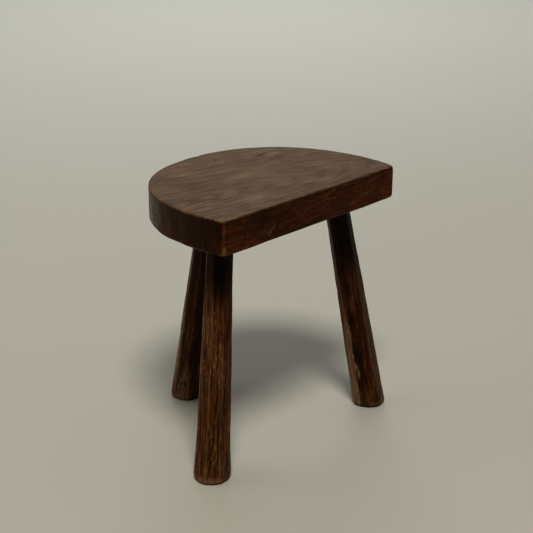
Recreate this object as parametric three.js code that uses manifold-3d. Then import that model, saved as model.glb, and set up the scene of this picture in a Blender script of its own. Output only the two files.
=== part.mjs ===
// Three-legged wooden milking stool: a thick half-moon seat and three splayed, tapered legs.
// Millimetres, +Z up. The floor is z = 0 and the origin is the middle of the footprint.
// The straight front edge runs along X, and the round back faces +Y.
// Each leg ends in a round tenon in a blind socket, spread there by a hidden fox wedge.
import * as THREE from "three";
import { mergeVertices } from "three/addons/utils/BufferGeometryUtils.js";
import Module from "manifold-3d";

// Seat
const STOOL_HEIGHT = 300;
const SEAT_THICKNESS = 37;
const FRONT_EDGE_LENGTH = 266.5;
const SEAT_DEPTH = 187;
const WIDEST_DEPTH = 41; // how far behind the front edge the seat is widest
const ROUNDNESS = 2.215; // superellipse exponent of the back: 2 is an ellipse, more is squarer
const CORNER_RADIUS = 2.5; // in plan, at the two ends of the front edge
const ARRIS_SOFTENING = 1.6; // along the top and bottom edges
const FRONT_EDGE_Y = -107;
const SEAT_MIDDLE_X = -2;

// Legs
const FOOT_ROUNDING = 3;
const FACETS = 8; // flats left by the drawknife
const FACET_DEPTH = 0.75; // 0 is a round leg, 1 has sharp flats
const FOOT_CUT_BLEND = 50; // height over which the level foot cut fades into square rings

// Joint between a leg and the seat
const TENON_RADIUS = 12.7;
const TENON_LENGTH = 26;
const TENON_CHAMFER = 1.2;
const GAP = 0.3; // between pieces that touch
const SOCKET_END_CLEARANCE = 0.8;
const WEDGE_LENGTH = 18;
const WEDGE_WIDTH = 23;
const WEDGE_THIN_END = 1.2;
const WEDGE_THICK_END = 4;
const KERF_WIDTH = 4 * TENON_RADIUS; // sawn right through the tenon

// x and y: where the leg's axis leaves the seat, from the middle of the front edge.
// heading: the way that the foot points, in degrees about +Z from +X. splay: degrees from upright.
// turn: degrees from the heading to a ridge between two flats.
// top and foot: radius over the ridges, just under the seat and at the floor.
const LEGS = [
  { name: "front_left", x: -86.4, y: 53, heading: -151, splay: 9.4, turn: 40, top: 14, foot: 20.3 },
  { name: "front_right", x: 86, y: 44.5, heading: -28, splay: 10.5, turn: 22, top: 13.2, foot: 19.2 },
  { name: "back", x: 0, y: 154, heading: 101.8, splay: 9.2, turn: 21, top: 13.4, foot: 19.2 },
];

const SEAT_CURVE_STEPS = 56;
const CORNER_STEPS = 4;
const RING_STEPS = 40; // a multiple of FACETS, so that vertices fall on the ridges
const FOOT_ARC_STEPS = 3;
const SHAFT_STEPS = 6;
const UNDERSIDE = STOOL_HEIGHT - SEAT_THICKNESS;

const seatWood = { color: 0x4a2f1d, roughness: 0.6, metalness: 0 };
const legWood = { color: 0x3f2512, roughness: 0.55, metalness: 0 };
const wedgeWood = { color: 0x6b4a2c, roughness: 0.75, metalness: 0 };

const wasm = await Module();
wasm.setup();

// A closed three.js geometry as a manifold-3d solid.
function toSolid(geometry) {
  const bare = geometry.clone();
  bare.deleteAttribute("normal");
  bare.deleteAttribute("uv");
  const merged = mergeVertices(bare, 1e-4);
  const vertProperties = merged.attributes.position.array;
  const triVerts = new Uint32Array(merged.index.array);
  return new wasm.Manifold(new wasm.Mesh({ numProp: 3, vertProperties, triVerts }));
}

function toGeometry(solid) {
  const mesh = solid.getMesh();
  const geometry = new THREE.BufferGeometry();
  geometry.setAttribute("position", new THREE.BufferAttribute(mesh.vertProperties, 3));
  geometry.setIndex(new THREE.BufferAttribute(mesh.triVerts, 1));
  geometry.computeVertexNormals();
  return geometry;
}

function cut(geometry, ...cutters) {
  const left = cutters.reduce((solid, cutter) => solid.subtract(toSolid(cutter)), toSolid(geometry));
  return toGeometry(left);
}

function namedMesh(name, geometry, look) {
  const mesh = new THREE.Mesh(geometry, new THREE.MeshStandardMaterial(look));
  mesh.name = name;
  return mesh;
}

// A group whose origin is where the leg's axis meets the underside, with +Z up along the leg
// and +X on the outer side of its splay.
function legFrame(leg) {
  const frame = new THREE.Group();
  frame.position.set(leg.x, leg.y, UNDERSIDE);
  frame.rotation.order = "ZYX";
  frame.rotation.z = THREE.MathUtils.degToRad(leg.heading);
  frame.rotation.y = -THREE.MathUtils.degToRad(leg.splay);
  frame.updateMatrix();
  return frame;
}

// Half-moon outline: a straight front edge and a superellipse back that meet in small round corners.
function seatOutline() {
  const middleToBack = SEAT_DEPTH - WIDEST_DEPTH;
  const halfEdge = FRONT_EDGE_LENGTH / 2;
  const halfWidth = halfEdge / (1 - (WIDEST_DEPTH / middleToBack) ** ROUNDNESS) ** (1 / ROUNDNESS);
  const power = 2 / ROUNDNESS;
  const start = -Math.asin(((WIDEST_DEPTH - CORNER_RADIUS) / middleToBack) ** (1 / power));
  const backPoint = (angle) => {
    const c = Math.cos(angle);
    const s = Math.sin(angle);
    const x = halfWidth * Math.sign(c) * Math.abs(c) ** power;
    const y = WIDEST_DEPTH + middleToBack * Math.sign(s) * Math.abs(s) ** power;
    return new THREE.Vector2(x, y);
  };
  const outline = new THREE.Shape();
  const rightEnd = backPoint(start);
  outline.moveTo(CORNER_RADIUS - halfEdge, 0);
  outline.lineTo(halfEdge - CORNER_RADIUS, 0);
  outline.quadraticCurveTo(halfEdge, 0, rightEnd.x, rightEnd.y);
  for (let i = 1; i <= SEAT_CURVE_STEPS; i++) {
    const point = backPoint(start + ((Math.PI - 2 * start) * i) / SEAT_CURVE_STEPS);
    outline.lineTo(point.x, point.y);
  }
  outline.quadraticCurveTo(-halfEdge, 0, CORNER_RADIUS - halfEdge, 0);
  return outline;
}

// Blind round hole bored from the underside along the leg's axis.
function socketCutter(leg) {
  const runOut = TENON_RADIUS; // the cutter starts this far below the underside
  const depth = TENON_LENGTH + SOCKET_END_CLEARANCE;
  const radius = TENON_RADIUS + GAP;
  const bore = new THREE.CylinderGeometry(radius, radius, depth + runOut, RING_STEPS);
  bore.rotateX(Math.PI / 2);
  bore.translate(0, 0, (depth - runOut) / 2);
  bore.applyMatrix4(legFrame(leg).matrix);
  return bore;
}

function seat() {
  const blank = new THREE.ExtrudeGeometry(seatOutline(), {
    depth: SEAT_THICKNESS - 2 * ARRIS_SOFTENING,
    curveSegments: CORNER_STEPS,
    bevelThickness: ARRIS_SOFTENING,
    bevelSize: ARRIS_SOFTENING,
    bevelOffset: -ARRIS_SOFTENING,
    bevelSegments: 2,
  });
  blank.translate(0, 0, UNDERSIDE + ARRIS_SOFTENING);
  return namedMesh("seat", cut(blank, ...LEGS.map(socketCutter)), seatWood);
}

// Half section of a leg and its tenon, from the foot up, as radius and height along the axis.
function legProfile(leg, length) {
  const points = [new THREE.Vector2(0, -length)];
  for (let i = 0; i <= FOOT_ARC_STEPS; i++) {
    const angle = (i / FOOT_ARC_STEPS) * (Math.PI / 2);
    const radius = leg.foot - FOOT_ROUNDING * (1 - Math.sin(angle));
    points.push(new THREE.Vector2(radius, -length + FOOT_ROUNDING * (1 - Math.cos(angle))));
  }
  const shaftStart = FOOT_ROUNDING - length;
  for (let i = 1; i <= SHAFT_STEPS; i++) {
    const radius = THREE.MathUtils.lerp(leg.foot, leg.top, i / SHAFT_STEPS);
    points.push(new THREE.Vector2(radius, THREE.MathUtils.lerp(shaftStart, -GAP, i / SHAFT_STEPS)));
  }
  points.push(new THREE.Vector2(TENON_RADIUS, -GAP));
  points.push(new THREE.Vector2(TENON_RADIUS, TENON_LENGTH - TENON_CHAMFER));
  points.push(new THREE.Vector2(TENON_RADIUS - TENON_CHAMFER, TENON_LENGTH));
  points.push(new THREE.Vector2(0, TENON_LENGTH));
  return points;
}

// How far a softened flat lies inside the full radius, as a factor on the radius.
function facetFactor(angle) {
  const step = (2 * Math.PI) / FACETS;
  const fromMiddle = THREE.MathUtils.euclideanModulo(angle, step) - step / 2;
  const sharp = Math.cos(step / 2) / Math.cos(fromMiddle);
  return THREE.MathUtils.lerp(1, sharp, FACET_DEPTH);
}

// Slopes the foot to stand level on the floor and the shoulder to meet the level underside,
// and shaves the flats along the shaft. The tenon stays round.
function shapeLeg(geometry, leg, length) {
  const slope = Math.tan(THREE.MathUtils.degToRad(leg.splay));
  const turn = THREE.MathUtils.degToRad(leg.turn);
  const position = geometry.attributes.position;
  for (let i = 0; i < position.count; i++) {
    const z = position.getZ(i);
    const radius = Math.hypot(position.getX(i), position.getY(i));
    const onShaft = z < 0 && radius > TENON_RADIUS + GAP;
    const angle = Math.atan2(position.getY(i), position.getX(i));
    const factor = onShaft ? facetFactor(angle - turn) : 1;
    const x = position.getX(i) * factor;
    const nearFoot = THREE.MathUtils.clamp(1 - (z + length - FOOT_ROUNDING) / FOOT_CUT_BLEND, 0, 1);
    const atShoulder = z < 0 && z > -2 * GAP ? 1 : 0;
    position.setXYZ(i, x, position.getY(i) * factor, z - x * slope * Math.max(nearFoot, atShoulder));
  }
}

// Tapered slice across the tenon's end, along the axis from thinAt to thickAt.
function taperedSlice(thinAt, thickAt, thin, thick, width) {
  const outline = new THREE.Shape();
  outline.moveTo(-thin / 2, thinAt);
  outline.lineTo(thin / 2, thinAt);
  outline.lineTo(thick / 2, thickAt);
  outline.lineTo(-thick / 2, thickAt);
  outline.closePath();
  const slice = new THREE.ExtrudeGeometry(outline, { depth: width, bevelEnabled: false });
  slice.translate(0, 0, -width / 2);
  return slice.rotateX(Math.PI / 2);
}

// The wedge spreads its tenon along the seat's grain, so the slice faces the X direction.
function acrossGrain(slice, leg) {
  return slice.rotateZ(-THREE.MathUtils.degToRad(leg.heading));
}

function legMesh(leg) {
  const length = UNDERSIDE / Math.cos(THREE.MathUtils.degToRad(leg.splay));
  const turn = THREE.MathUtils.degToRad(leg.turn);
  const blank = new THREE.LatheGeometry(legProfile(leg, length), RING_STEPS, turn);
  blank.rotateX(Math.PI / 2);
  shapeLeg(blank, leg, length);
  const kerf = acrossGrain(
    taperedSlice(
      TENON_LENGTH - WEDGE_LENGTH - GAP,
      TENON_LENGTH + GAP,
      WEDGE_THIN_END + 2 * GAP,
      WEDGE_THICK_END + 2 * GAP,
      KERF_WIDTH,
    ),
    leg,
  );
  return namedMesh("leg_" + leg.name, cut(blank, kerf), legWood);
}

function wedgeMesh(leg) {
  const wedge = taperedSlice(
    TENON_LENGTH - WEDGE_LENGTH,
    TENON_LENGTH,
    WEDGE_THIN_END,
    WEDGE_THICK_END,
    WEDGE_WIDTH,
  );
  return namedMesh("wedge_" + leg.name, acrossGrain(wedge, leg), wedgeWood);
}

const stool = new THREE.Group();
const layout = new THREE.Group(); // measured from the middle of the front edge
layout.position.set(SEAT_MIDDLE_X, FRONT_EDGE_Y, 0);
layout.add(seat());
for (const leg of LEGS) {
  const frame = legFrame(leg);
  frame.add(legMesh(leg), wedgeMesh(leg));
  layout.add(frame);
}
stool.add(layout);

export default stool;
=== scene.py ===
import math

import bpy
import numpy as np
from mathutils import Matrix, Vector
from mathutils.geometry import delaunay_2d_cdt


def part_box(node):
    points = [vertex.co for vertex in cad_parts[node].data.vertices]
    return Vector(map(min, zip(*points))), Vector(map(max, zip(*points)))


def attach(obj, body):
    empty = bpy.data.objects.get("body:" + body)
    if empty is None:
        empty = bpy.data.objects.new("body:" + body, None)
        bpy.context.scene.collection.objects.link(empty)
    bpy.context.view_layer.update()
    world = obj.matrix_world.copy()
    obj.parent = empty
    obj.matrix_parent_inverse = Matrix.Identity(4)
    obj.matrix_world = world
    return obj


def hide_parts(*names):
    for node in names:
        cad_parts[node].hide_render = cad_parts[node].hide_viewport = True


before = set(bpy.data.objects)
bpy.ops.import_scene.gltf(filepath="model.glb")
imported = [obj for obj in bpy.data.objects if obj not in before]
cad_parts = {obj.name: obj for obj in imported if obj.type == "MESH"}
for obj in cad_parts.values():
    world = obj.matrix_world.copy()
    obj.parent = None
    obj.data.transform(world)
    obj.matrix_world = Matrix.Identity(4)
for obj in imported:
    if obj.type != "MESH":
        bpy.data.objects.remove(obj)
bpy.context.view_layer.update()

MM = 0.001
TAU = 2 * math.pi

# Seat shape
WIDEST_DEPTH = 41 * MM  # from the front edge to where the seat is widest
ROUNDNESS = 2.215
CORNER_RADIUS = 3.4 * MM
ARRIS = 1.5 * MM
SOCKET_DEPTH = 26.8 * MM
FIT_GAP = 0.3 * MM

# Seat mesh
OUTLINE_STEP = 2.0 * MM
SIDE_STEP = 1.3 * MM
TOP_STEP = 2.1 * MM
UNDERSIDE_STEP = 3.4 * MM
ARRIS_ROWS = 5
SOCKET_STEPS = 48
SEAT_DENTS = 22

# Legs
FACETS = 8
FACET_DEPTH = 0.8  # 1 would make the leg a true octagon, 0 round
FOOT_ROUNDING = 4.2 * MM
FOOT_CUT_BLEND = 50 * MM
TENON_CHAMFER = 1.2 * MM
MEAN_RADIUS = 17 * MM
LEG_RING_STEPS = 136
LEG_ROW_STEP = 1.7 * MM
LEG_DENTS = 16

GRAIN_HEADING = math.radians(-9)  # of the seat's fibres, about +Z from +X


def smooth(low, high, value):
    t = np.clip((value - low) / (high - low), 0, 1)
    return t * t * (3 - 2 * t)


def bell(distance, width):
    return np.exp(-((distance / width) ** 2))


def wobble(points, size, seed, waves=14):
    """Smooth random values about 0, near 1 in size, that change over the given length."""
    rng = np.random.default_rng(seed)
    points = np.atleast_2d(points)
    directions = rng.normal(size=(waves, points.shape[1]))
    directions /= np.linalg.norm(directions, axis=1)[:, None]
    directions *= (TAU / size * rng.uniform(0.4, 1.3, waves))[:, None]
    phases = rng.uniform(0, TAU, waves)
    return np.sin(points @ directions.T + phases).sum(axis=1) / math.sqrt(waves / 2)


def mesh_points(mesh):
    points = np.empty(len(mesh.vertices) * 3)
    mesh.vertices.foreach_get("co", points)
    return points.reshape(-1, 3)


def node_points(name):
    """The corners of a CAD node, each once."""
    return np.unique(np.round(mesh_points(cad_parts[name].data), 6), axis=0)


def make_object(name, points, faces):
    mesh = bpy.data.meshes.new(name)
    mesh.from_pydata(points.tolist(), [], faces)
    mesh.validate()
    mesh.shade_smooth()
    piece = bpy.data.objects.new(name, mesh)
    bpy.context.collection.objects.link(piece)
    return piece


def set_values(mesh, name, values):
    """Stores a number or a vector for each vertex, to be read by the materials."""
    kind = "FLOAT_VECTOR" if values.ndim == 2 else "FLOAT"
    layer = mesh.attributes.new(name, kind, "POINT")
    field = "vector" if values.ndim == 2 else "value"
    layer.data.foreach_set(field, values.astype(np.float32).ravel())


def grid_faces(rows, columns):
    """Quads between neighbouring rows of a closed ring of columns."""
    faces = []
    for row in range(rows - 1):
        for i in range(columns):
            j = (i + 1) % columns
            low = row * columns
            high = low + columns
            faces.append([low + i, high + i, high + j, low + j])
    return faces


# ---------------------------------------------------------------- the CAD pieces, measured


class Leg:
    """Axis, facets and radii of one leg, measured from its CAD node and its wedge."""

    def __init__(self, side, seed, foot_rounding, grime_and_shade_reach, pale, dark):
        self.name = "leg_" + side
        self.seed = seed
        self.foot_rounding = foot_rounding
        self.grime_and_shade_reach = grime_and_shade_reach
        self.pale = pale
        self.dark = dark
        points = node_points(self.name)
        wedge = node_points("wedge_" + side)
        self.foot_point = points[points[:, 2] < 0.01 * MM].mean(axis=0)
        self.up = wedge.mean(axis=0) - self.foot_point
        self.up /= np.linalg.norm(self.up)
        outer = -self.up * [1, 1, 0]
        self.heading = math.atan2(outer[1], outer[0])
        self.splay = math.acos(self.up[2])
        flat = np.array([math.cos(self.heading), math.sin(self.heading), 0])
        self.outer = flat - self.up * (flat @ self.up)
        self.outer /= np.linalg.norm(self.outer)
        self.side = np.cross(self.up, self.outer)
        self.length = underside / self.up[2]
        along, radius, angle = self.unroll(points)
        self.tenon_end = along.max()
        tenon = along > self.length + 3 * MM
        self.tenon_radius = radius[tenon].max()
        low = (along > FOOT_ROUNDING / 2) & (along < 12 * MM)
        self.foot_radius = radius[low].max()
        high = (along > self.length - 12 * MM) & ~tenon
        self.top_radius = radius[high].max()
        shaft = (along > 0.3 * self.length) & (along < 0.7 * self.length)
        ridge = shaft & (radius > self.shaft_radius(along) - 0.06 * MM)
        self.turn = np.angle(np.exp(1j * FACETS * angle[ridge]).mean()) / FACETS

    def shaft_radius(self, along):
        t = np.clip((along - FOOT_ROUNDING) / (self.length - FOOT_ROUNDING), 0, 1)
        return self.foot_radius + (self.top_radius - self.foot_radius) * t

    def unroll(self, points):
        """Height along the axis, radius and angle about it of points in the stool's frame."""
        local = points - self.foot_point
        x = local @ self.outer
        y = local @ self.side
        return local @ self.up, np.hypot(x, y), np.arctan2(y, x)

    def sector(self, along, angle, heading, reach, strength, start):
        """The strength of a sector of the leg, faded out at its sides and near the seat."""
        facing = np.cos(self.heading + angle - math.radians(heading))
        limits = [math.cos(math.radians(reach * share)) for share in (1.25, 0.75)]
        below = smooth(start, start + 60 * MM, self.length - along)
        return strength * smooth(*limits, facing) * below

    def place(self, along, radius, angle):
        """Points in the stool's frame, the reverse of unroll."""
        across = np.cos(angle)[..., None] * self.outer + np.sin(angle)[..., None] * self.side
        return self.foot_point + along[..., None] * self.up + radius[..., None] * across


seat_low, seat_high = (np.array(corner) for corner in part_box("seat"))
underside = seat_low[2]
seat_top = seat_high[2]
front_y = seat_low[1]
middle_x = (seat_low[0] + seat_high[0]) / 2
seat_half_width = (seat_high[0] - seat_low[0]) / 2
seat_depth = seat_high[1] - seat_low[1]
# Pale is the side of each leg that is rubbed and that faces the lamps, painted lighter as painted
# light;
# dark is the side that is stained: heading in degrees about +Z from +X, reach to either side in
# degrees, strength, and distance below the seat where they start.
# The grime and shade reach is how far down from the seat the leg is darkened all round, by grime
# and by painted shade.
legs = [
    Leg(
        "front_left",
        seed=11,
        foot_rounding=4.8 * MM,
        grime_and_shade_reach=88 * MM,
        pale=(-134, 100, 0.54, 30 * MM),
        dark=(30, 50, 0.4, 30 * MM),
    ),
    Leg(
        "front_right",
        seed=12,
        foot_rounding=6.6 * MM,
        grime_and_shade_reach=135 * MM,
        pale=(160, 34, 1.4, 110 * MM),
        dark=(-151, 16, 0.75, 20 * MM),
    ),
    Leg(
        "back",
        seed=13,
        foot_rounding=5.2 * MM,
        grime_and_shade_reach=115 * MM,
        pale=(180, 50, 1.0, 140 * MM),
        dark=(-100, 46, 0.35, 30 * MM),
    ),
]


# ---------------------------------------------------------------- seat shape


def seat_outline():
    """Dense outline of the half moon, counter-clockwise, from the middle of its front edge."""
    to_back = seat_depth - WIDEST_DEPTH
    power = 2 / ROUNDNESS
    half_edge = seat_half_width * (1 - (WIDEST_DEPTH / to_back) ** ROUNDNESS) ** (1 / ROUNDNESS)
    start = -math.asin(((WIDEST_DEPTH - CORNER_RADIUS) / to_back) ** (1 / power))
    angle = np.linspace(start, math.pi - start, 1800)
    c = np.cos(angle)
    s = np.sin(angle)
    back_x = seat_half_width * np.sign(c) * np.abs(c) ** power
    back_y = WIDEST_DEPTH + to_back * np.sign(s) * np.abs(s) ** power
    t = np.linspace(0, 1, 20)[:-1]
    corner_x = (1 - t) ** 2 * (half_edge - CORNER_RADIUS)
    corner_x += 2 * t * (1 - t) * half_edge + t**2 * back_x[0]
    corner_y = t**2 * back_y[0]
    x = np.concatenate([corner_x, back_x, -corner_x[::-1]])
    y = np.concatenate([corner_y, back_y, corner_y[::-1]])
    return np.column_stack([x, y])


def resample(outline, places):
    """Closed outline at steps of OUTLINE_STEP, finer near the given places."""
    closed = np.vstack([outline, outline[:1]])
    lengths = np.linalg.norm(np.diff(closed, axis=0), axis=1)
    counts = np.maximum(1, np.ceil(lengths / (0.2 * MM)).astype(int))
    spans = zip(closed[:-1], closed[1:], counts)
    fine = np.vstack([a + (b - a) * np.arange(count)[:, None] / count for a, b, count in spans])
    density = np.ones(len(fine))
    for place, extra, reach in places:
        density += extra * bell(np.linalg.norm(fine - place, axis=1), reach)
    steps = np.linalg.norm(np.diff(np.vstack([fine, fine[:1]]), axis=0), axis=1)
    cost = np.concatenate([[0], np.cumsum(steps * density)])
    total = int(cost[-1] / OUTLINE_STEP)
    targets = np.arange(total) * cost[-1] / total
    looped = np.vstack([fine, fine[:1]])
    return np.column_stack([np.interp(targets, cost, looped[:, k]) for k in (0, 1)])


def inward(ring):
    """Unit vectors towards the inside of a counter-clockwise ring."""
    tangent = np.roll(ring, -1, axis=0) - np.roll(ring, 1, axis=0)
    tangent /= np.linalg.norm(tangent, axis=1)[:, None]
    return np.column_stack([-tangent[:, 1], tangent[:, 0]])


# Marks on the seat: x and y are measured from the middle of its front edge, height from its
# underside. The front marks are in millimetres.
WORM_HOLE = np.array([11, 160]) * MM
WORM_HOLE_RADIUS = 1.1 * MM
KNOT = np.array([66, 138]) * MM
RIM_NOTCH = np.array([9, 187]) * MM
FRONT_MARKS = [  # start x, height, end x, height, half width
    (-68.5, 6.5, -61.0, 15.0, 0.8),
    (-72.0, 9.5, -66.0, 11.5, 0.6),
    (17.0, 26.0, 33.0, 33.5, 0.6),
    (60.0, 9.0, 66.0, 10.5, 0.9),
    (84.0, 14.5, 87.0, 15.5, 0.8),
    (-16.0, 19.0, -12.0, 20.0, 0.6),
]


def front_mark_depth(x, up):
    """1 in the middle of a scratch on the front face, 0 away from them."""
    depth = np.zeros(len(x))
    for x0, z0, x1, z1, width in FRONT_MARKS:
        start = np.array([x0, z0]) * MM
        run = np.array([x1, z1]) * MM - start
        along = np.clip(((x - start[0]) * run[0] + (up - start[1]) * run[1]) / (run @ run), 0, 1)
        away = np.hypot(x - start[0] - along * run[0], up - start[1] - along * run[1])
        depth = np.maximum(depth, bell(away, width * MM) * (0.6 + 0.4 * np.sin(along * 9)))
    return depth


def arris_size(ring, seed):
    """Width and height of the worn edge at each place, larger at the right tip."""
    uneven = 0.25 * wobble(ring, 70 * MM, seed) + 0.08 * wobble(ring, 22 * MM, seed + 1)
    wear = ARRIS * (1.05 + uneven)
    right_tip = np.array([ring[ring[:, 1] < 1 * MM, 0].max(), 0])
    at_tip = bell(np.linalg.norm(ring - right_tip, axis=1), 6 * MM)
    width = np.clip(wear + 1.7 * MM * at_tip, 0.8 * MM, 3.0 * MM)
    return width, width * (1 + 0.8 * at_tip)


def side_hollow(ring, up):
    """How far the sides lie inside the true outline: saw and shave marks and small dents."""
    place = np.column_stack([ring, up])
    curved = smooth(0.5 * MM, 6 * MM, ring[:, 1])
    shaved = 0.10 * wobble(ring, 22 * MM, 31) + 0.05 * wobble(place, 8 * MM, 32)
    sawn = 0.10 * wobble(ring, 90 * MM, 33) + 0.035 * wobble(ring, 6 * MM, 34)
    hollow = (curved * shaved + (1 - curved) * sawn) * MM
    hollow += (1 - curved) * 0.22 * MM * front_mark_depth(ring[:, 0], up)
    thickness = seat_top - underside
    notch = bell(np.linalg.norm(ring - RIM_NOTCH, axis=1), 2.6 * MM)
    return hollow + 1.3 * MM * notch * smooth(thickness - 5 * MM, thickness, up)


def top_relief(xy):
    """Height of the top above flat: sat-in hollow, plane tracks, dents, hole and knot."""
    x, y = xy[:, 0], xy[:, 1]
    c, s = math.cos(GRAIN_HEADING), math.sin(GRAIN_HEADING)
    across = np.column_stack([y * c - x * s])
    relief = -0.5 * bell(np.hypot(x / 1.3, y - 90 * MM), 70 * MM)
    relief += 0.10 * wobble(xy, 70 * MM, 41)
    relief += 0.04 * wobble(across, 26 * MM, 42) + 0.03 * wobble(xy, 12 * MM, 43)
    rng = np.random.default_rng(44)
    for _ in range(SEAT_DENTS):
        middle = [rng.uniform(-120, 120) * MM, rng.uniform(12, 165) * MM]
        reach = rng.uniform(1.8, 4.5) * MM
        relief -= rng.uniform(0.08, 0.28) * bell(np.linalg.norm(xy - middle, axis=1), reach)
    relief -= 0.35 * bell(np.hypot((x - KNOT[0]) / 1.7, y - KNOT[1]), 4.5 * MM)
    from_hole = np.linalg.norm(xy - WORM_HOLE, axis=1)
    relief -= 2.6 * smooth(1.35 * WORM_HOLE_RADIUS, 0.75 * WORM_HOLE_RADIUS, from_hole)
    return relief * MM


def inside(points, ring):
    """Whether each point is inside a closed ring, by counting crossings to its right."""
    x0, y0 = ring[:, 0], ring[:, 1]
    x1, y1 = np.roll(x0, -1), np.roll(y0, -1)
    y = points[:, 1:2]
    crosses = (y0 > y) != (y1 > y)
    slope = (x1 - x0) / np.where(y1 == y0, 1e-12, y1 - y0)
    right = points[:, 0:1] < x0 + (y - y0) * slope
    return (crosses & right).sum(axis=1) % 2 == 1


def fill(ring, step, holes=(), extra=None):
    """Points and even triangles inside a ring and outside the holes, the rings' points first."""
    low, high = ring.min(axis=0), ring.max(axis=0)
    spots = []
    for row, y in enumerate(np.arange(low[1], high[1], step * 0.866)):
        x = np.arange(low[0] + (row % 2) * step / 2, high[0], step)
        spots.append(np.column_stack([x, np.full(len(x), y)]))
    spots = np.vstack(spots)
    if extra is not None:
        near = np.linalg.norm(spots[:, None] - extra[None], axis=2).min(axis=1)
        spots = np.vstack([spots[near > 0.7 * step], extra])
    keep = inside(spots, ring)
    for edge in (ring, *holes):
        keep &= np.linalg.norm(spots[:, None] - edge[None], axis=2).min(axis=1) > 0.55 * step
    for hole in holes:
        keep &= ~inside(spots, hole)
    points = np.vstack([ring, *holes, spots[keep]])
    edges = []
    first = len(ring)
    for hole in holes:
        edges += [(first + i, first + (i + 1) % len(hole)) for i in range(len(hole))]
        first += len(hole)
    made = delaunay_2d_cdt([Vector(p) for p in points], edges, [list(range(len(ring)))], 1, 1e-7)
    source = [original[0] for original in made[3]]
    triangles = np.array([[source[i] for i in face] for face in made[2]])
    middles = points[triangles].mean(axis=1)
    for hole in holes:
        outside = ~inside(middles, hole)
        triangles, middles = triangles[outside], middles[outside]
    return points, triangles


def rings_round(middle, radii, count):
    """A point with circles of points round it."""
    angle = np.arange(count) / count * TAU
    circles = [middle + r * np.column_stack([np.cos(angle), np.sin(angle)]) for r in radii]
    return np.vstack([[middle], *circles])


def socket_points(leg):
    """Rings of a leg's socket, from its mouth in the underside up to its flat end."""
    angle = np.arange(SOCKET_STEPS) / SOCKET_STEPS * TAU
    radius = np.full(SOCKET_STEPS, leg.tenon_radius + FIT_GAP)
    mouth = leg.length + radius * np.cos(angle) * math.tan(leg.splay)
    end = np.full(SOCKET_STEPS, leg.length + SOCKET_DEPTH)
    rings = [leg.place(mouth + (end - mouth) * t, radius, angle) for t in np.linspace(0, 1, 6)]
    centre = leg.foot_point + leg.up * (leg.length + SOCKET_DEPTH)
    return rings, centre


def seat_ring():
    """The seat's outline, with finer steps at the corners, the notch and the scratches."""
    half_front = -seat_outline()[-1][0]
    finer = [(RIM_NOTCH, 1.5, 6 * MM)]
    for corner_x in (half_front, -half_front):
        finer.append((np.array([corner_x, 1 * MM]), 5, 5 * MM))
    for x0, _, x1, _, _ in FRONT_MARKS:
        finer.append((np.array([(x0 + x1) / 2 * MM, 0]), 2.5, (x1 - x0) / 1.6 * MM + 2 * MM))
    return resample(seat_outline(), finer)


def seat_rows(ring, thickness):
    """Rows of points round the seat: over the top edge, down the side and under the low edge."""
    top_width, top_height = arris_size(ring, 21)
    low_width, low_height = arris_size(ring, 23)
    rows = []
    for step in range(ARRIS_ROWS):
        angle = step / ARRIS_ROWS * math.pi / 2
        up = thickness - top_height * (1 - math.cos(angle))
        rows.append((top_width * (1 - math.sin(angle)), up))
    side_rows = int(thickness / SIDE_STEP)
    for step in range(side_rows + 1):
        t = step / side_rows
        rows.append((np.zeros(len(ring)), (thickness - top_height) * (1 - t) + low_height * t))
    for step in range(1, ARRIS_ROWS + 1):
        angle = step / ARRIS_ROWS * math.pi / 2
        rows.append((low_width * (1 - math.cos(angle)), low_height * (1 - math.sin(angle))))
    normal = inward(ring)
    strip = []
    for inset, up in rows:
        xy = ring + normal * (inset + side_hollow(ring, up))[:, None]
        strip.append(np.column_stack([xy, up]))
    return strip


def socket_faces(mouth, start, rows, centre):
    """Faces of a socket, from its mouth's first point through its rings to its centre."""
    faces = []
    end = start + (rows - 1) * SOCKET_STEPS
    for i in range(SOCKET_STEPS):
        j = (i + 1) % SOCKET_STEPS
        faces.append([mouth + i, mouth + j, start + j, start + i])
        for low in range(start, end, SOCKET_STEPS):
            faces.append([low + i, low + j, low + SOCKET_STEPS + j, low + SOCKET_STEPS + i])
        faces.append([end + i, end + j, centre])
    return faces


def build_seat():
    """The seat: worn sides, a dense top, and an underside with the three sockets."""
    thickness = seat_top - underside
    ring = seat_ring()
    count = len(ring)
    strip = seat_rows(ring, thickness)
    points = np.vstack(strip)
    faces = grid_faces(len(strip), count)

    fine = np.vstack([
        rings_round(WORM_HOLE, np.array([0.6, 0.95, 1.3, 2.0]) * WORM_HOLE_RADIUS, 14),
        rings_round(KNOT, np.array([1.2, 2.6, 4.2]) * MM, 12),
    ])
    top_xy, top_triangles = fill(strip[0][:, :2], TOP_STEP, extra=fine)
    base = len(points)
    added = top_xy[count:]
    points = np.vstack([points, np.column_stack([added, np.full(len(added), thickness)])])
    faces += np.where(top_triangles < count, top_triangles, top_triangles - count + base).tolist()

    seat_corner = np.array([middle_x, front_y, underside])
    sockets = [socket_points(leg) for leg in legs]
    mouths = [rings[0][:, :2] - seat_corner[:2] for rings, _ in sockets]
    low_xy, low_triangles = fill(strip[-1][:, :2], UNDERSIDE_STEP, holes=mouths)
    last_row = (len(strip) - 1) * count
    base = len(points)
    added = low_xy[count:]
    points = np.vstack([points, np.column_stack([added, np.zeros(len(added))])])
    on_edge = low_triangles < count
    renumbered = np.where(on_edge, low_triangles + last_row, low_triangles - count + base)
    faces += renumbered[:, ::-1].tolist()
    for k, (rings, centre) in enumerate(sockets):
        start = len(points)
        points = np.vstack([points, np.vstack([*rings[1:], centre]) - seat_corner])
        faces += socket_faces(base + k * SOCKET_STEPS, start, len(rings) - 1, len(points) - 1)
    raised = smooth(thickness - 6 * MM, thickness, points[:, 2])
    flat_points = points.copy()
    points[:, 2] += raised * top_relief(points[:, :2])
    piece = make_object("seat_board", points + seat_corner, faces)
    seat_values(piece.data, flat_points, thickness, ring)
    return piece


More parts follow.
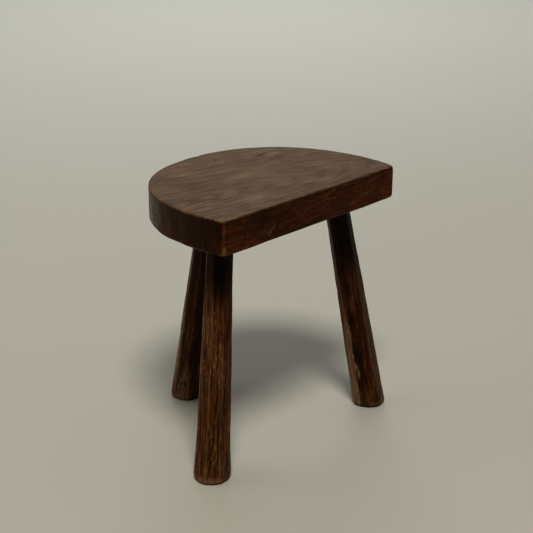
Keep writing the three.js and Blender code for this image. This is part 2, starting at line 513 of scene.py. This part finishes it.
def seat_values(mesh, points, thickness, ring):
    """Grain, haze with painted sheen, wear, marks and dark places, one with painted shade, of the
    seat, as values on its vertices.
    """
    x, y, up = points.T
    depth = thickness - up
    from_knot = points[:, :2] - KNOT
    edge_in = np.linalg.norm(points[:, None, :2] - ring[None, ::3], axis=2).min(axis=1)
    on_top = smooth(thickness - 2.2 * MM, thickness - 0.4 * MM, up)
    low_corner = np.abs(points) - [126 * MM, 9 * MM, 7 * MM]
    low_corner = bell(np.linalg.norm(low_corner * [1, 1, 1.2], axis=1), 12 * MM)
    seat_grain(mesh, points, depth, from_knot)
    # The top's grey haze: dry, dusty wood, with a painted sheen standing in for a bright wall's
    # reflection.
    set_values(mesh, "haze_and_sheen", on_top)
    set_values(mesh, "wear", seat_wear(points, ring, depth, edge_in))
    set_values(mesh, "scratch", front_mark_depth(x, up) * smooth(3 * MM, 0.5 * MM, y))
    end_grain = smooth(0.25, 0.85, np.abs(x) / seat_half_width) * smooth(1 * MM, 5 * MM, y)
    end_grain *= np.clip(0.98 + 0.3 * wobble(points, 32 * MM, 53) - 0.3 * low_corner, 0, 1)
    set_values(mesh, "end_grain", end_grain * (1 - on_top) * smooth(6 * MM, 1 * MM, edge_in))
    set_values(mesh, "grime_and_shade", seat_grime_and_shade(points, depth, edge_in, from_knot, on_top))
    set_values(mesh, "pale", seat_pale(points, from_knot, low_corner, on_top))


def seat_grain(mesh, points, depth, from_knot):
    """Fibres that bend round the knot, and rings round a heart that lies below the board."""
    x, y, up = points.T
    c, s = math.cos(GRAIN_HEADING), math.sin(GRAIN_HEADING)
    along = x * c + y * s
    across = y * c - x * s
    knot_away = np.hypot(from_knot[:, 0] / 1.8, from_knot[:, 1])
    push = bell(knot_away, 15 * MM) * 5 * MM * np.tanh(from_knot[:, 1] / (4 * MM))
    bend = 1.3 * MM * wobble(points[:, :2] * [0.5, 1], 80 * MM, 51)
    across = across + push + bend
    # The heart dips towards the right, which draws arches on the top.
    heart_across = 52 * MM
    heart_depth = 22 * MM + 0.16 * (along + 140 * MM)
    set_values(mesh, "fibre", np.column_stack([along, across, up]))
    set_values(mesh, "rings", np.hypot(across - heart_across, depth + heart_depth))


def seat_wear(points, ring, depth, edge_in):
    """Where the stain is worn off: both edges, the front corners and a stretch of the left rim."""
    x, y, up = points.T
    top_edge = 0.4 * bell(np.hypot(edge_in - 0.4 * MM, depth - 0.5 * MM), 1.1 * MM)
    low_edge = 0.4 * bell(np.hypot(edge_in, up), 2.2 * MM)
    corner_x = ring[ring[:, 1] < 1 * MM, 0].max()
    corner_width = (1.1 + 1.7 * smooth(18 * MM, 3 * MM, up)) * MM
    corner = bell(np.hypot(np.abs(x) - corner_x, y - 0.4 * MM) / corner_width, 1)
    corner *= np.interp(up / MM, (0, 9, 17, 26, 33), (0.9, 0.8, 0.5, 0.6, 1.4))
    corner *= 0.8 + 0.35 * wobble(points, 9 * MM, 52)
    left_rim = bell(depth - 1.5 * MM, 0.9 * MM)
    left_rim *= bell(np.hypot(x + 137 * MM, y - 50 * MM), 16 * MM)
    return np.clip(np.maximum.reduce([top_edge, low_edge, corner, left_rim]), 0, 1)


def seat_grime_and_shade(points, depth, edge_in, from_knot, on_top):
    """Dark places: insect hole, a streak at the knot, part of the front, and a line under the rim
    that is stain and painted shade.
    """
    x, y, up = points.T
    from_hole = np.linalg.norm(points[:, :2] - WORM_HOLE, axis=1)
    hole = smooth(1.5 * WORM_HOLE_RADIUS, 0.9 * WORM_HOLE_RADIUS, from_hole)
    streak = np.hypot((from_knot[:, 0] + 4 * MM) / 3.4, from_knot[:, 1] - 1 * MM)
    streak = 0.75 * bell(streak, 2.4 * MM)
    front = 0.55 * bell(np.hypot(x + 78 * MM, (up - 29 * MM) * 2.2), 34 * MM)
    front *= smooth(3 * MM, 0, y)
    # A dark line just under the top rim: stain and painted shade.
    under_rim = 0.5 * bell(depth - 3.2 * MM, 1.2 * MM) * smooth(1.5 * MM, 0.5 * MM, edge_in)
    return np.clip(np.maximum.reduce([hole * on_top, streak * on_top, front, under_rim]), 0, 1)


def seat_pale(points, from_knot, low_corner, on_top):
    """Patches rubbed paler: three on the top, one low on the front, and the low corners."""
    x, y, up = points.T
    by_knot = np.hypot((from_knot[:, 0] - 9 * MM) / 2.1, from_knot[:, 1] + 7 * MM)
    top = 0.8 * bell(by_knot, 5 * MM)
    top += 0.5 * bell(np.hypot((x + 54 * MM) / 2, y - 30 * MM), 9 * MM)
    top += 0.45 * bell(np.hypot((x + 13 * MM) / 3, y - 95 * MM), 7 * MM)
    front = 0.5 * bell(np.hypot((x + 112 * MM) / 2.2, up - 6 * MM), 9 * MM)
    front *= smooth(3 * MM, 0, y)
    return np.maximum.reduce([top * on_top, front, 0.5 * low_corner * (1 - on_top)])


# ---------------------------------------------------------------- leg shape

# Marks on each leg: heading in degrees, height along the leg, half length, half width and depth
# in millimetres, and how dark it is (below 0 for bare wood).
LEG_MARKS = {
    "leg_front_left": [
        (-120, 150, 4, 1.2, 0.1, -0.8),
        (-141, 128, 3, 1.2, 0.1, -0.8),
        (-112, 36, 9, 1.0, 0.3, 0.5),
        (-150, 62, 5, 0.8, 0.1, -0.5),
    ],
    "leg_front_right": [
        (-163, 70, 9, 1.3, 0.7, 1),
        (-164, 58, 4, 1.7, 0.1, -1.2),
        (-158, 49, 6, 1.3, 0.1, -1.1),
        (-72, 6, 3.5, 3, 0.9, -0.4),
    ],
    "leg_back": [
        (-148, 24, 3, 2.1, 0.8, 1),
        (-150, 90, 6, 0.9, 0.2, 0.4),
    ],
}


def leg_mark(leg, mark, along, angle):
    """1 in the middle of a mark on a leg, 0 away from it."""
    heading, height, half_length, half_width = mark[:4]
    turned = np.angle(np.exp(1j * (angle + leg.heading - math.radians(heading))))
    along_share = (along / MM - height) / half_length
    across_share = turned * leg.foot_radius / MM / half_width
    return bell(np.hypot(along_share, across_share), 1)


def facet_factor(angle, depth):
    """Share of the radius at the ridges: 1 there, smaller in the middle of a flat."""
    step = TAU / FACETS
    from_middle = np.mod(angle, step) - step / 2
    sharp = math.cos(step / 2) / np.cos(from_middle)
    return 1 + (sharp - 1) * depth


def leg_relief(leg, along, angle):
    """Unevenness of the shaved flats, in metres out from the ideal surface."""
    rng = np.random.default_rng(leg.seed)
    step = TAU / FACETS
    flat = np.floor(np.mod(angle - leg.turn, TAU) / step).astype(int) % FACETS
    offset = rng.normal(0, 0.10, FACETS)
    middle = np.cos(np.mod(angle - leg.turn, step) / step * TAU) * -0.5 + 0.5
    relief = offset[flat] * middle
    around = np.column_stack([along, MEAN_RADIUS * np.cos(angle), MEAN_RADIUS * np.sin(angle)])
    relief += 0.07 * wobble(around, 70 * MM, leg.seed + 100)
    relief += 0.05 * wobble(around * [1, 1.6, 1.6], 15 * MM, leg.seed + 200)
    chatter = np.sin(along / rng.uniform(11, 15) / MM * TAU + offset[flat] * 40)
    relief += 0.05 * chatter * middle
    for _ in range(LEG_DENTS):
        place = rng.uniform(0.05, 0.9) * leg.length
        turn = rng.uniform(0, TAU)
        aside = MEAN_RADIUS * np.angle(np.exp(1j * (angle - turn)))
        away = np.hypot((along - place) / rng.uniform(1, 2.5), aside)
        relief -= rng.uniform(0.1, 0.35) * bell(away, rng.uniform(1.5, 3.5) * MM)
    for mark in LEG_MARKS[leg.name]:
        relief -= mark[4] * leg_mark(leg, mark, along, angle)
    return relief * MM


def leg_rows(leg, angle):
    """Height and radius of each ring of a leg, from its foot up, and whether its flats show."""
    uneven = 0.18 * np.sin(angle * 2 + leg.seed) + 0.12 * np.sin(angle * 5)
    rounding = leg.foot_rounding * (1 + uneven)
    rows = []
    for inner in (0.35, 0.7):
        rows.append((np.zeros(LEG_RING_STEPS), inner * (leg.foot_radius - rounding), True))
    for turned in np.linspace(0, 1, 6)[:-1]:
        arc = turned * math.pi / 2
        radius = leg.foot_radius - rounding * (1 - math.sin(arc))
        rows.append((rounding * (1 - math.cos(arc)), radius, True))
    tenon_start = leg.length - FIT_GAP
    for share in np.linspace(0, 1, int(leg.length / LEG_ROW_STEP)):
        along = rounding + (tenon_start - rounding) * share
        rows.append((along, leg.shaft_radius(along), True))
    for along, radius in (
        (tenon_start, leg.tenon_radius),
        (tenon_start + 8 * MM, leg.tenon_radius),
        (tenon_start + 16 * MM, leg.tenon_radius),
        (leg.tenon_end - TENON_CHAMFER, leg.tenon_radius),
        (leg.tenon_end, leg.tenon_radius - TENON_CHAMFER),
        (leg.tenon_end, leg.tenon_radius * 0.5),
    ):
        rows.append((np.full(LEG_RING_STEPS, along), np.full(LEG_RING_STEPS, radius), False))
    return rows


def shaved(leg, along, radius, angle):
    """The radius of a ring of the shaft with its flats and their unevenness."""
    depth = FACET_DEPTH + 0.12 * wobble(np.array([[along[0]]]), 60 * MM, leg.seed + 5)[0]
    depth *= 0.35 + 0.65 * smooth(2 * MM, 35 * MM, along[0])
    strength = smooth(0.3, 1, radius / leg.shaft_radius(along))
    shoulder = smooth(leg.length - 1 * MM, leg.length - 10 * MM, along)
    radius = radius * facet_factor(angle - leg.turn, depth)
    return radius + leg_relief(leg, along, angle) * strength * shoulder


def build_leg(leg):
    """A leg, from its level foot past its shoulder to the end of its sawn tenon."""
    angle = np.arange(LEG_RING_STEPS) / LEG_RING_STEPS * TAU
    slope = math.tan(leg.splay)
    rings = []
    for along, radius, flats in leg_rows(leg, angle):
        if flats:
            radius = shaved(leg, along, radius, angle)
        x = radius * np.cos(angle)
        near_foot = np.clip(1 - (along - FOOT_ROUNDING) / FOOT_CUT_BLEND, 0, 1) * flats
        at_shoulder = (along > leg.length - 2 * FIT_GAP) & (along < leg.length)
        along = along - x * slope * np.maximum(near_foot, at_shoulder)
        rings.append(leg.place(along, radius, angle))
    count = len(rings)
    points = np.vstack([*rings, leg.foot_point, leg.foot_point + leg.up * leg.tenon_end])
    faces = [face[::-1] for face in grid_faces(count, LEG_RING_STEPS)]
    foot = len(points) - 2
    end = len(points) - 1
    for i in range(LEG_RING_STEPS):
        j = (i + 1) % LEG_RING_STEPS
        faces.append([foot, j, i])
        faces.append([end, (count - 1) * LEG_RING_STEPS + i, (count - 1) * LEG_RING_STEPS + j])
    piece = make_object(leg.name + "_wood", points, faces)
    cut_kerf(piece, leg)
    leg_values(piece.data, leg)
    return piece


def cut_kerf(piece, leg):
    """Saws the tapered slot for the wedge into the end of the tenon."""
    wedge = node_points(leg.name.replace("leg", "wedge"))
    along = (wedge - leg.foot_point) @ leg.up
    c, s = math.cos(leg.heading), math.sin(leg.heading)
    thick = leg.outer * c - leg.side * s
    wide = leg.outer * s + leg.side * c
    out = (wedge - leg.foot_point) @ thick
    thin_half = np.abs(out[along < along.mean()]).max() + FIT_GAP
    thick_half = np.abs(out[along > along.mean()]).max() + FIT_GAP
    corners = []
    for height, half in ((along.min() - FIT_GAP, thin_half), (leg.tenon_end + 1 * MM, thick_half)):
        for a, b in ((-1, -1), (1, -1), (1, 1), (-1, 1)):
            across = thick * half * a + wide * 2 * leg.tenon_radius * b
            corners.append(leg.foot_point + leg.up * height + across)
    faces = [[3, 2, 1, 0], [4, 5, 6, 7]]
    faces += [[i, (i + 1) % 4, (i + 1) % 4 + 4, i + 4] for i in range(4)]
    saw = make_object("saw", np.array(corners), faces)
    cut = piece.modifiers.new("kerf", "BOOLEAN")
    cut.operation = "DIFFERENCE"
    cut.solver = "EXACT"
    cut.object = saw
    bpy.context.view_layer.update()
    sawn = piece.evaluated_get(bpy.context.evaluated_depsgraph_get())
    sawn = bpy.data.meshes.new_from_object(sawn)
    piece.modifiers.clear()
    piece.data = sawn
    piece.data.shade_smooth()
    bpy.data.objects.remove(saw)


def leg_values(mesh, leg):
    """Grain, rings, wear, marks, painted shade and painted light of a leg, as values on its
    vertices.
    """
    points = mesh_points(mesh)
    along, radius, angle = leg.unroll(points)
    rng = np.random.default_rng(leg.seed + 7)
    x = radius * np.cos(angle)
    y = radius * np.sin(angle)
    heart = rng.uniform(-1, 1, 2)
    heart *= 38 * MM / np.linalg.norm(heart)
    set_values(mesh, "fibre", np.column_stack([along + leg.seed * 1.7, x, y]))
    set_values(mesh, "rings", np.hypot(x - heart[0] - 0.03 * along, y - heart[1]))
    step = TAU / FACETS
    ridge = np.abs(np.mod(angle - leg.turn + step / 2, step) - step / 2) * radius
    from_top = leg.length - along
    wear = 0.30 * bell(ridge, 1.4 * MM) * smooth(20 * MM, 80 * MM, from_top)
    wear = np.maximum(wear, 0.65 * bell(points[:, 2] - 3 * MM, 4 * MM))
    set_values(mesh, "wear", wear)
    set_values(mesh, "end_grain", smooth(0.6 * MM, 0.2 * MM, points[:, 2]))
    # Painted shade under the seat, darkest towards heading -118 as a painted dark reflection, over
    # some grime.
    top_grime_and_shade = 0.7 + leg.sector(0, angle, -118, 40, 0.5, 0)
    top_grime_and_shade *= smooth(leg.grime_and_shade_reach, 0.25 * leg.grime_and_shade_reach, from_top)
    # Painted contact shadow on the lowest millimetres of the foot.
    contact_shadow = 0.9 * smooth(1.6 * MM, 0.2 * MM, points[:, 2])
    stain = leg.sector(along, angle, *leg.dark)
    stain *= 0.8 + 0.3 * wobble(points, 40 * MM, leg.seed + 10)
    stain *= smooth(0, 45 * MM, along) * 0.6 + 0.4
    marks = [mark[5] * leg_mark(leg, mark, along, angle) for mark in LEG_MARKS[leg.name]]
    grime_and_shade = np.maximum.reduce([top_grime_and_shade, contact_shadow, stain, *marks])
    set_values(mesh, "grime_and_shade", np.clip(grime_and_shade, 0, 1))
    # The pale sector is painted light on the side the lamps light, and partly rubbed wear; the low
    # end is worn paler.
    low_end = 0.45 * smooth(40 * MM, 15 * MM, along)
    rubbed = np.maximum(leg.sector(along, angle, *leg.pale), low_end)
    patches = 0.7 + 0.22 * wobble(points * [1, 1, 0.4], 30 * MM, leg.seed + 9)
    set_values(mesh, "pale", np.clip(rubbed * patches, 0, 1))
    set_values(mesh, "scratch", np.clip(-np.minimum.reduce(marks), 0, 1))


# ---------------------------------------------------------------- wood


class Shader:
    """Adds nodes to a material's tree. Numbers and sockets can both be given as inputs."""

    def __init__(self, name):
        self.material = bpy.data.materials.new(name)
        self.material.use_nodes = True
        self.tree = self.material.node_tree
        self.surface = self.tree.nodes["Principled BSDF"]

    def feed(self, socket, value):
        if isinstance(value, bpy.types.NodeSocket):
            self.tree.links.new(value, socket)
        elif value is not None:
            socket.default_value = value

    def value(self, name):
        node = self.tree.nodes.new("ShaderNodeAttribute")
        node.attribute_name = name
        return node.outputs["Vector"] if name == "fibre" else node.outputs["Fac"]

    def math(self, operation, a, b=None, c=None, clamp=False):
        node = self.tree.nodes.new("ShaderNodeMath")
        node.operation = operation
        node.use_clamp = clamp
        for socket, given in zip(node.inputs, (a, b, c)):
            self.feed(socket, given)
        return node.outputs[0]

    def stretch(self, vector, scale):
        node = self.tree.nodes.new("ShaderNodeVectorMath")
        node.operation = "MULTIPLY"
        self.feed(node.inputs[0], vector)
        node.inputs[1].default_value = scale
        return node.outputs[0]

    def noise(self, vector, scale, detail=3, roughness=0.55):
        """Noise from 0 to 1 with scale repeats per metre along the fibres and across them."""
        node = self.tree.nodes.new("ShaderNodeTexNoise")
        self.feed(node.inputs["Vector"], self.stretch(vector, scale))
        node.inputs["Scale"].default_value = 1
        node.inputs["Detail"].default_value = detail
        node.inputs["Roughness"].default_value = roughness
        return node.outputs[0]

    def step(self, value, low, high, to_low=0.0, to_high=1.0):
        """A smooth change from to_low to to_high while the value goes from low to high."""
        node = self.tree.nodes.new("ShaderNodeMapRange")
        node.interpolation_type = "SMOOTHSTEP"
        for socket, given in zip(node.inputs, (value, low, high, to_low, to_high)):
            self.feed(socket, given)
        return node.outputs[0]

    def mix(self, amount, a, b):
        node = self.tree.nodes.new("ShaderNodeMix")
        node.data_type = "RGBA"
        self.feed(node.inputs[0], amount)
        self.feed(node.inputs[6], a if not isinstance(a, tuple) else (*a, 1))
        self.feed(node.inputs[7], b if not isinstance(b, tuple) else (*b, 1))
        return node.outputs[2]

    def bump(self, height, distance, strength):
        node = self.tree.nodes.new("ShaderNodeBump")
        node.inputs["Strength"].default_value = strength
        node.inputs["Distance"].default_value = distance
        self.feed(node.inputs["Height"], height)
        self.feed(self.surface.inputs["Normal"], node.outputs[0])


def shade(colour, factor):
    """A lighter or darker colour of the same hue."""
    return tuple(factor * c for c in colour)


def grain_tone(w, fibre, fine, coarse, blotch, ring_width, ring_contrast):
    """How light the wood is: its fibres and blotches, with a darker line along each ring."""
    slow = w.noise(fibre, (7, 50, 50), 2)
    rings = w.math("ADD", w.value("rings"), w.math("MULTIPLY", slow, ring_width * 1.3))
    band = w.math("SINE", w.math("MULTIPLY", rings, TAU / ring_width))
    tone = w.math("MULTIPLY", w.step(band, 0.1, 1.0), -ring_contrast)
    tone = w.math("MULTIPLY_ADD", fine, 0.80, tone)
    tone = w.math("MULTIPLY_ADD", coarse, 0.9, tone)
    return w.math("MULTIPLY_ADD", blotch, 0.30, tone)


def rubbed_patches(w, colour, fibre, coarse, tone, light, bare):
    """The colour where the stain is rubbed, and where the legs' lit sides are painted lighter as
    painted light: lighter, then bare wood, then the palest specks.
    """
    pale = w.value("pale")
    lighter = w.step(tone, 0.98, 1.22)
    lighter = w.math("MULTIPLY_ADD", pale, w.step(coarse, 0.36, 0.56), lighter, clamp=True)
    colour = w.mix(lighter, colour, light)
    # The palest places, mostly the legs' lit sides, as painted light.
    bleached_and_lit = w.math("MULTIPLY", w.step(pale, 0.7, 1.0), w.step(coarse, 0.3, 0.62))
    colour = w.mix(w.math("MULTIPLY", bleached_and_lit, 0.55), colour, bare)
    specks = w.noise(fibre, (110, 740, 740), 3, 0.65)
    specks = w.math("MULTIPLY", w.step(specks, 0.56, 0.66), pale)
    return w.mix(w.math("MULTIPLY", specks, 0.65), colour, shade(bare, 1.7))


def dark_end_grain(w, colour, fibre, end, dark, light):
    """The colour where the fibres end: nearly black, with light flecks."""
    colour = w.mix(w.math("MULTIPLY", end, 0.85), colour, shade(dark, 0.4))
    flecks = w.noise(fibre, (900, 700, 700), 2, 0.5)
    flecks = w.math("MULTIPLY", w.step(flecks, 0.55, 0.7), end)
    return w.mix(w.math("MULTIPLY", flecks, 0.2), colour, light)


def old_wood(
    name, dark, middle, light, bare, ring_width, ring_contrast, fibre_scale, gloss, haze_and_sheen_colour=None
):
    """Stained wood: rings, fibres, pores and blotches, paler where worn and where painted light
    falls, greyer where the haze and painted sheen lie.
    """
    w = Shader(name)
    fibre = w.value("fibre")
    end = w.value("end_grain")
    fine = w.noise(fibre, (fibre_scale * 2.2, 950, 950), 4, 0.75)
    coarse = w.noise(fibre, (fibre_scale * 0.7, 400, 400), 4, 0.6)
    blotch = w.noise(fibre, (24, 40, 40), 3, 0.6)
    tone = grain_tone(w, fibre, fine, coarse, blotch, ring_width, ring_contrast)
    colour = w.mix(w.step(tone, 0.76, 1.08), dark, middle)
    colour = rubbed_patches(w, colour, fibre, coarse, tone, light, bare)
    colour = dark_end_grain(w, colour, fibre, end, dark, light)
    rough = gloss
    # Painted sheen: the top is greyed and lightened as if it reflected a bright wall, over dusty
    # wood.
    if haze_and_sheen_colour:
        colour = under_haze_and_sheen(w, colour, haze_and_sheen_colour, tone, coarse, blotch)
        rough = w.math("MULTIPLY_ADD", w.value("haze_and_sheen"), 0.16, gloss)
    pores = w.step(w.noise(fibre, (fibre_scale * 2, 1250, 1250), 3, 0.5), 0.55, 0.70)
    colour = w.mix(w.math("MULTIPLY", pores, 0.55), colour, dark)

    # Worn edges, grime with painted shade, and scratches lie over everything else.
    patchy = w.step(w.noise(fibre, (45, 70, 70), 3, 0.6), 0.35, 0.60, 0.15, 1.0)
    worn = w.math("MULTIPLY", w.value("wear"), patchy, clamp=True)
    colour = w.mix(w.math("MULTIPLY", worn, 0.75), colour, bare)
    colour = w.mix(w.value("grime_and_shade"), colour, shade(dark, 0.25))
    scratch = w.value("scratch")
    colour = w.mix(w.math("MULTIPLY", scratch, 0.85), colour, bare)
    w.feed(w.surface.inputs["Base Color"], colour)

    rough = w.math("MULTIPLY_ADD", w.step(coarse, 0.3, 0.7), 0.12, rough)
    rough = w.math("MULTIPLY_ADD", w.math("MAXIMUM", worn, scratch), 0.15, rough)
    rough = w.math("MULTIPLY_ADD", end, -0.13, rough)
    w.feed(w.surface.inputs["Roughness"], rough)
    w.surface.inputs["IOR"].default_value = 1.48
    w.surface.inputs["Specular IOR Level"].default_value = 0.3
    w.surface.inputs["Specular Tint"].default_value = (1, 0.6, 0.36, 1)
    height = w.math("MULTIPLY_ADD", pores, -0.7, w.math("MULTIPLY", fine, 0.8))
    height = w.math("MULTIPLY_ADD", coarse, 0.6, height)
    w.bump(height, 0.25 * MM, 0.55)
    return w.material


def under_haze_and_sheen(w, colour, haze_and_sheen_colour, tone, coarse, blotch):
    """The colour under a thin grey haze, partly dusty wood and partly a painted sheen, that is
    cloudy, ruddy in places and paler where rubbed.
    """
    thickness = w.step(w.math("ADD", blotch, coarse), 0.6, 1.4, 0.65, 0.95)
    haze_and_sheen = w.math("MULTIPLY", w.value("haze_and_sheen"), thickness)
    soft_tone = w.math("MULTIPLY_ADD", coarse, -0.25, tone)
    cloudy = w.mix(w.step(soft_tone, 0.64, 1.08), shade(haze_and_sheen_colour, 0.55), shade(haze_and_sheen_colour, 1.6))
    colour = w.mix(haze_and_sheen, colour, cloudy)
    ruddy = w.step(w.noise(w.value("fibre"), (7, 16, 16), 2), 0.48, 0.66, 0, 0.28)
    red, green, blue = haze_and_sheen_colour
    ruddy_colour = (1.1 * red, 0.86 * green, 0.8 * blue)
    colour = w.mix(w.math("MULTIPLY", haze_and_sheen, ruddy), colour, ruddy_colour)
    return w.mix(w.math("MULTIPLY", haze_and_sheen, w.value("pale")), colour, shade(haze_and_sheen_colour, 2))


def plain_wedge_wood():
    """Split, unstained wood for the hidden wedges, in the object's own coordinates."""
    w = Shader("wedge_wood")
    place = w.tree.nodes.new("ShaderNodeTexCoord").outputs["Object"]
    fine = w.noise(place, (900, 900, 60), 4, 0.7)
    coarse = w.noise(place, (200, 200, 30), 3)
    tone = w.math("ADD", fine, coarse)
    colour = w.mix(w.step(tone, 0.7, 1.3), (0.20, 0.12, 0.06), (0.36, 0.24, 0.13))
    w.feed(w.surface.inputs["Base Color"], colour)
    w.feed(w.surface.inputs["Roughness"], w.step(coarse, 0.3, 0.7, 0.6, 0.8))
    w.bump(tone, 0.2 * MM, 0.5)
    return w.material


def floor_material():
    """Plain pale floor with faint, wide clouds."""
    w = Shader("pale_floor")
    place = w.tree.nodes.new("ShaderNodeTexCoord").outputs["Object"]
    cloud = w.noise(place, (0.8, 0.8, 0.8), 2)
    colour = w.mix(cloud, (0.412, 0.397, 0.345), (0.440, 0.424, 0.369))
    w.feed(w.surface.inputs["Base Color"], colour)
    w.surface.inputs["Roughness"].default_value = 0.75
    return w.material


# ---------------------------------------------------------------- scene

seat_wood = old_wood(
    "seat_wood",
    dark=(0.021, 0.0054, 0.0015),
    middle=(0.073, 0.0155, 0.0022),
    light=(0.124, 0.038, 0.0060),
    bare=(0.22, 0.135, 0.065),
    ring_width=5.5 * MM,
    ring_contrast=0.08,
    fibre_scale=15,
    gloss=0.32,
    # The haze colour is partly dusty wood and partly a painted sheen.
    haze_and_sheen_colour=(0.128, 0.092, 0.061),
)
leg_wood = old_wood(
    "leg_wood",
    dark=(0.017, 0.0048, 0.0014),
    middle=(0.063, 0.0190, 0.0048),
    light=(0.134, 0.060, 0.021),
    bare=(0.28, 0.19, 0.115),
    ring_width=3.4 * MM,
    ring_contrast=0.10,
    fibre_scale=26,
    gloss=0.33,
)
wedge_wood = plain_wedge_wood()

board = build_seat()
board.data.materials.append(seat_wood)
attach(board, "root")
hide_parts("seat")

for leg in legs:
    piece = build_leg(leg)
    piece.data.materials.clear()
    piece.data.materials.append(leg_wood)
    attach(piece, "root")
    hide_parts(leg.name)
    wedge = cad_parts[leg.name.replace("leg", "wedge")]
    wedge.data.materials.clear()
    wedge.data.materials.append(wedge_wood)

FLOOR_HALF = 9.0
floor = make_object(
    "studio_floor",
    np.array([[-1, -1, 0], [1, -1, 0], [1, 1, 0], [-1, 1, 0]]) * FLOOR_HALF,
    [[0, 1, 2, 3]],
)
floor.data.materials.append(floor_material())


def area_light(name, place, aim, size, power, colour):
    light = bpy.data.lights.new(name, "AREA")
    light.shape = "DISK"
    light.size = size
    light.energy = power
    light.color = colour
    lamp = bpy.data.objects.new(name, light)
    lamp.location = place
    lamp.rotation_euler = (Vector(aim) - Vector(place)).to_track_quat("-Z", "Y").to_euler()
    lamp.visible_camera = False
    bpy.context.collection.objects.link(lamp)
    return lamp


# A soft overhead light on the camera's side, one over the floor behind the stool, one turned away
# from the stool onto the far floor, and a weak one low on the left for the legs' left flats.
area_light("overhead", (-1.85, -2.2, 5.1), (0, 0, 0.15), 1.6, 192, (1, 0.97, 0.92))
area_light("behind", (2.9, 2.9, 3.6), (2.6, 2.6, 0), 3.0, 32, (0.92, 0.96, 1))
area_light("backdrop", (1.7, 1.7, 2.8), (3.6, 3.6, 0), 1.5, 52, (0.84, 0.9, 1))
area_light("window", (-2.0, 2.0, 1.4), (0, 0, 0.2), 2.2, 13, (0.95, 0.97, 1))


def studio_sky():
    """Bright behind the stool, dim elsewhere, with a pale band low down all round."""
    world = bpy.data.worlds.new("studio")
    world.use_nodes = True
    sky = world.node_tree
    place = sky.nodes.new("ShaderNodeTexCoord").outputs["Generated"]
    strengths = []
    for direction, low, high, dim, bright in (
        ((0.66, 0.66, 0.35), -0.3, 0.8, 0.03, 0.31),
        ((0, 0, -1), -0.28, -0.06, 0, 0.17),
    ):
        toward = sky.nodes.new("ShaderNodeVectorMath")
        toward.operation = "DOT_PRODUCT"
        toward.inputs[1].default_value = direction
        sky.links.new(place, toward.inputs[0])
        fade = sky.nodes.new("ShaderNodeMapRange")
        fade.interpolation_type = "SMOOTHSTEP"
        for socket, number in zip(fade.inputs[1:5], (low, high, dim, bright)):
            socket.default_value = number
        sky.links.new(toward.outputs["Value"], fade.inputs[0])
        strengths.append(fade.outputs[0])
    most = sky.nodes.new("ShaderNodeMath")
    most.operation = "MAXIMUM"
    for socket, strength in zip(most.inputs, strengths):
        sky.links.new(strength, socket)
    background = sky.nodes["Background"]
    sky.links.new(most.outputs[0], background.inputs["Strength"])
    background.inputs["Color"].default_value = (0.98, 0.97, 0.93, 1)
    return world


bpy.context.scene.world = studio_sky()

# The camera stands in front of the stool and to its left, and looks slightly down at it.
camera_data = bpy.data.cameras.new("camera")
camera_data.sensor_width = 36
camera_data.lens = 85.66
camera = bpy.data.objects.new("camera", camera_data)
camera.location = (-0.95217, -0.94100, 0.70158)
camera.rotation_euler = (math.pi / 2 - 0.3667076, 0, -0.8106505)
bpy.context.collection.objects.link(camera)
bpy.context.scene.camera = camera
bpy.context.scene.view_settings.view_transform = "Standard"
bpy.context.scene.view_settings.look = "High Contrast"
